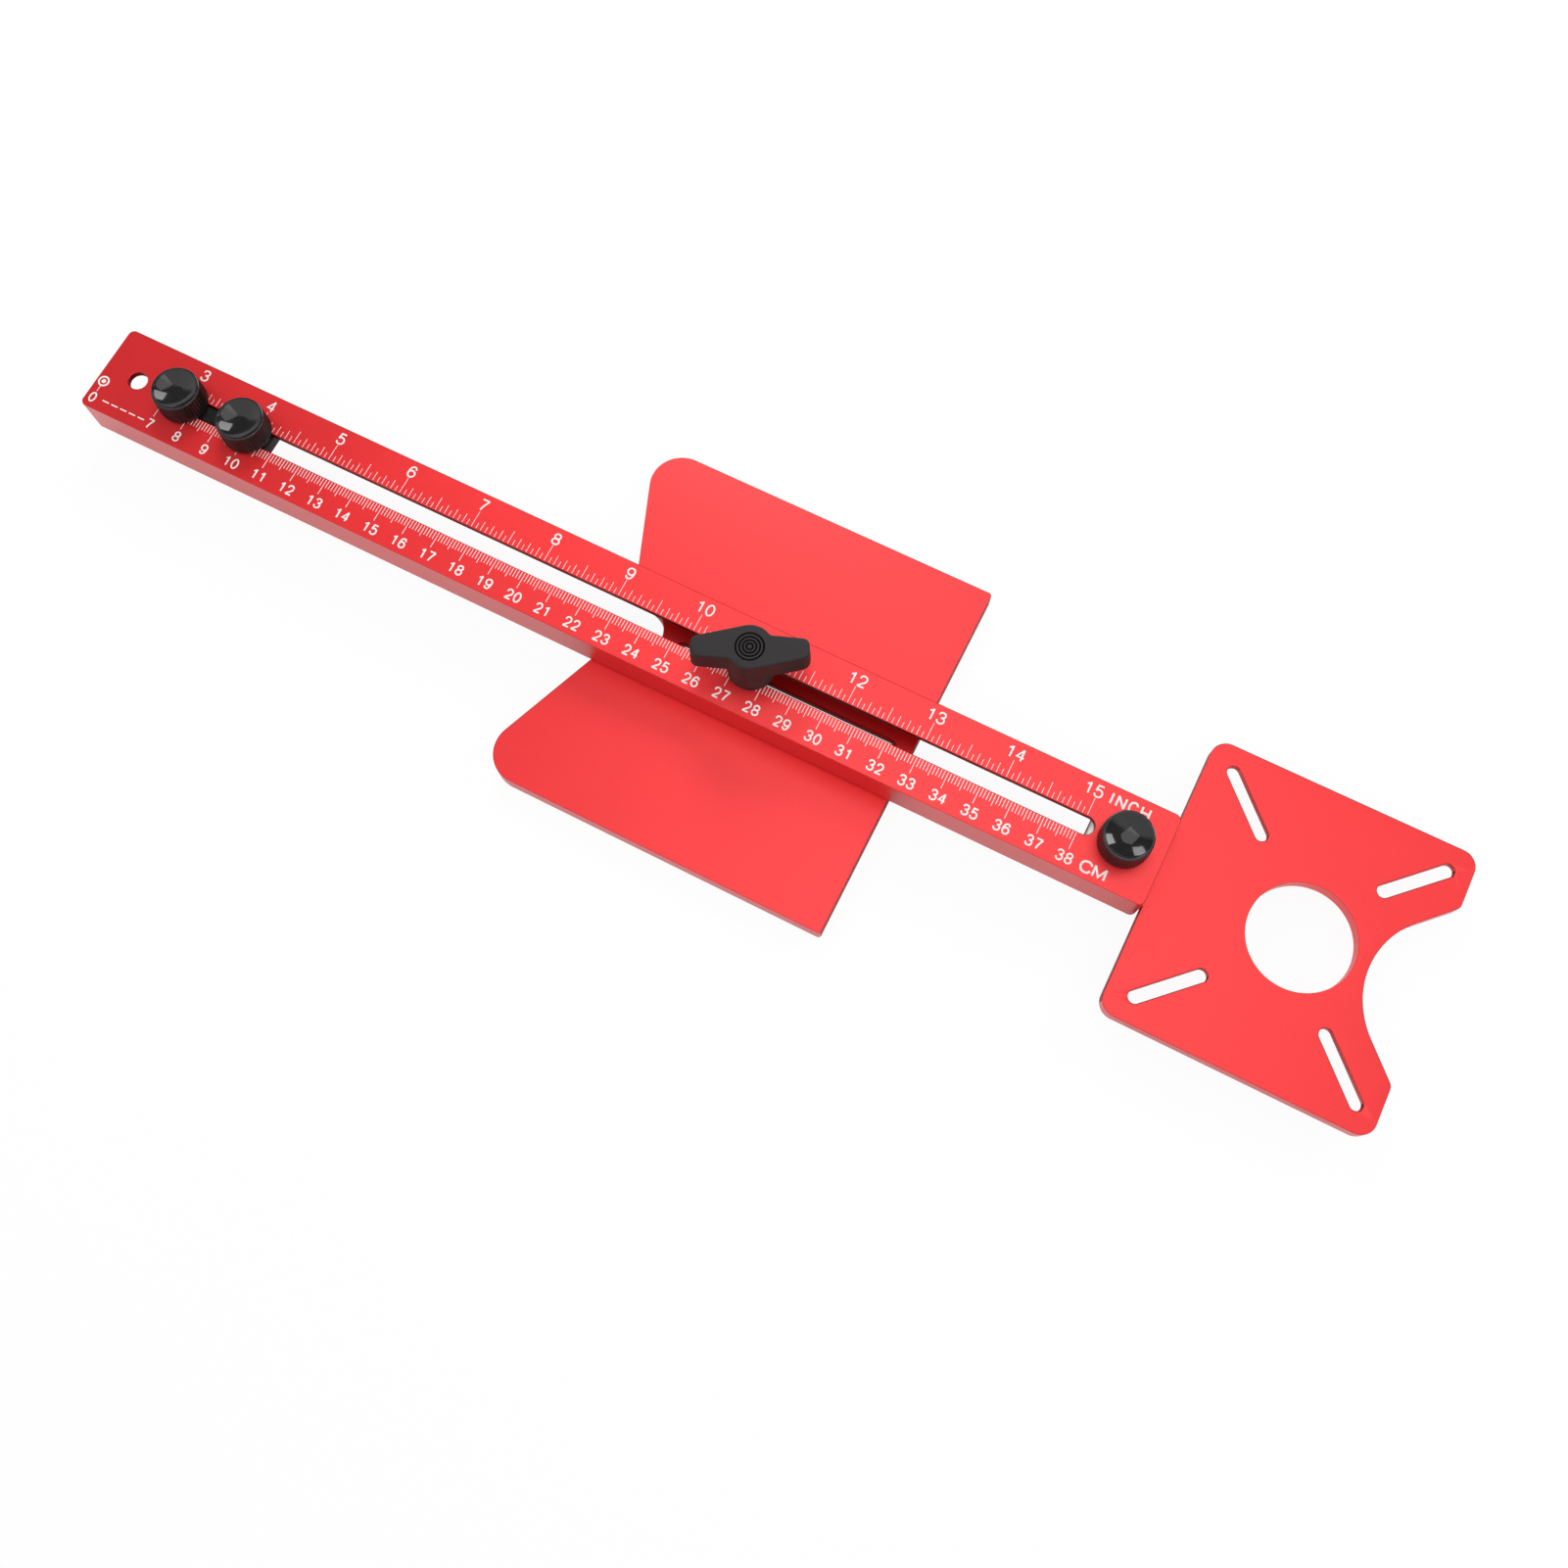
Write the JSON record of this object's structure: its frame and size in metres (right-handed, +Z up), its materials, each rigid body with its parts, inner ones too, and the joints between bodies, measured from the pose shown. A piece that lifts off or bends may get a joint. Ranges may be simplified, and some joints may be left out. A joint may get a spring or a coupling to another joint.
{
  "type": "router circle cutting jig",
  "caption": "Slotted scale bar with a router base plate at one end, a sliding pivot block clamped by knobs and a notched fence plate under a wing knob.",
  "frame": {"origin": "middle of the whole jig in plan, at the height of the fence plate's underside, which it rests on", "axes": "+X along the scale bar towards the router base plate, +Y across the bar towards the inch scale, +Z up"},
  "size_m": [0.4404, 0.119, 0.0369],
  "materials": {
    "red_anodised": "satin red anodised",
    "bare_aluminium": "milled",
    "gloss_black": "gloss",
    "matt_black": "matt",
    "zinc_steel": "zinc plated",
    "brass": "machined"
  },
  "bodies": {
    "bar": {"scale_bar": "red_anodised", "router_base_plate": "red_anodised", "tongue_spacer": "bare_aluminium", "end_knob_washer": "zinc_steel"},
    "end_knob": {"end_knob": "gloss_black", "end_knob_stud": "zinc_steel"},
    "slider": {"slider_block": "matt_black", "pivot_pin": "zinc_steel", "slider_insert_left": "brass", "slider_insert_right": "brass", "slider_washer_left": "zinc_steel", "slider_washer_right": "zinc_steel"},
    "left_slider_knob": {"slider_knob_left": "gloss_black", "slider_stud_left": "zinc_steel"},
    "right_slider_knob": {"slider_knob_right": "gloss_black", "slider_stud_right": "zinc_steel"},
    "fence_carriage": {"wing_washer": "matt_black"},
    "fence_bolt": {"fence_bolt": "zinc_steel"},
    "fence": {"fence_plate": "red_anodised"},
    "wing_knob": {"wing_knob": "matt_black", "wing_knob_insert": "brass"}
  },
  "joints": [
    {"name": "end_knob_turn", "type": "hinge", "parent": "bar", "child": "end_knob", "pos_m": [0.12645, 0, 0.0215], "axis": [0, 0, 1], "range_deg": [0, 720]},
    {"name": "slider_travel", "type": "slide", "parent": "bar", "child": "slider", "axis": [1, 0, 0], "range_m": [-0.0027, 0.075]},
    {"name": "left_slider_knob_turn", "type": "hinge", "parent": "slider", "child": "left_slider_knob", "pos_m": [-0.1908, 0, 0.0215], "axis": [0, 0, 1], "range_deg": [0, 720]},
    {"name": "right_slider_knob_turn", "type": "hinge", "parent": "slider", "child": "right_slider_knob", "pos_m": [-0.1674, 0, 0.0215], "axis": [0, 0, 1], "range_deg": [0, 720]},
    {"name": "fence_travel", "type": "slide", "parent": "bar", "child": "fence_carriage", "axis": [1, 0, 0], "range_m": [-0.03, 0.103]},
    {"name": "fence_swivel", "type": "hinge", "parent": "fence_carriage", "child": "fence_bolt", "pos_m": [0.00785, 0, 0.0215], "axis": [0, 0, 1], "range_deg": [-180, 180]},
    {"name": "fence_shift", "type": "slide", "parent": "fence_bolt", "child": "fence", "axis": [1, 0, 0], "range_m": [-0.0448, 0.024]},
    {"name": "wing_knob_turn", "type": "hinge", "parent": "fence_bolt", "child": "wing_knob", "pos_m": [0.00785, 0, 0.0215], "axis": [0, 0, 1], "range_deg": [0, 720]}
  ]
}
